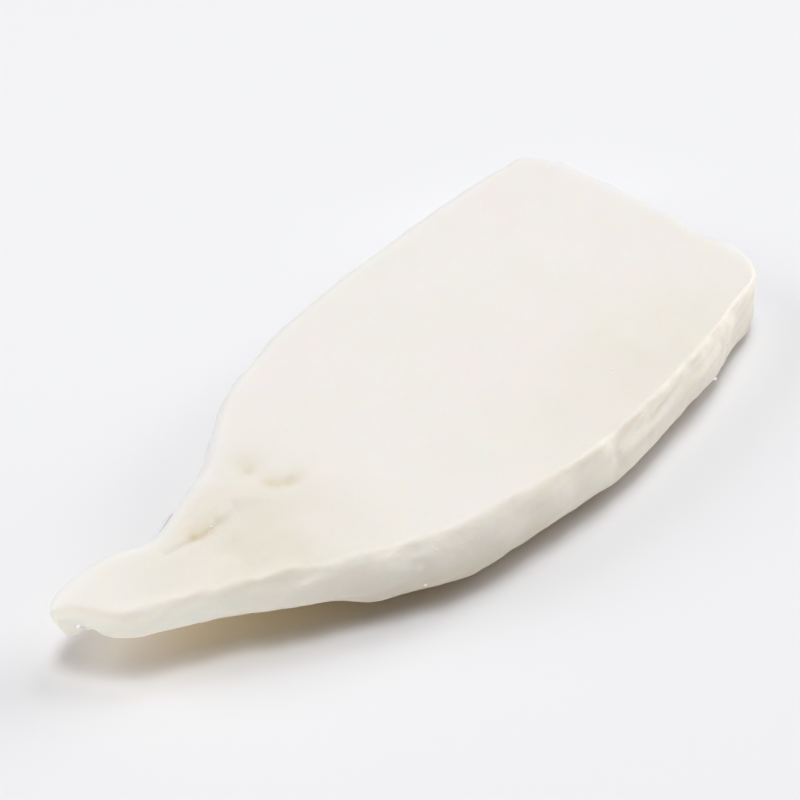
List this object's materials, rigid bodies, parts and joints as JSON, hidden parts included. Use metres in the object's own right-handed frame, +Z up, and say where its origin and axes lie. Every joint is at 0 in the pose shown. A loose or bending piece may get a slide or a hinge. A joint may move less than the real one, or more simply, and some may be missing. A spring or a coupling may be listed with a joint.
{
  "type": "frozen squid tube",
  "caption": "Cleaned squid mantle frozen flat: a broad tube with folded sides, a mouth frozen shut and a narrow bent tail.",
  "frame": {"origin": "middle of the bounding box's underside, in the plane that the tube rests on", "axes": "+X along the tube towards its mouth, +Y across it, +Z up from the resting face"},
  "size_m": [0.2186, 0.1026, 0.0235],
  "materials": {
    "frozen_squid_flesh": "matt frozen flesh under a thin glaze of ice"
  },
  "bodies": {
    "root": {"squid_tube": "frozen_squid_flesh"}
  },
  "joints": []
}
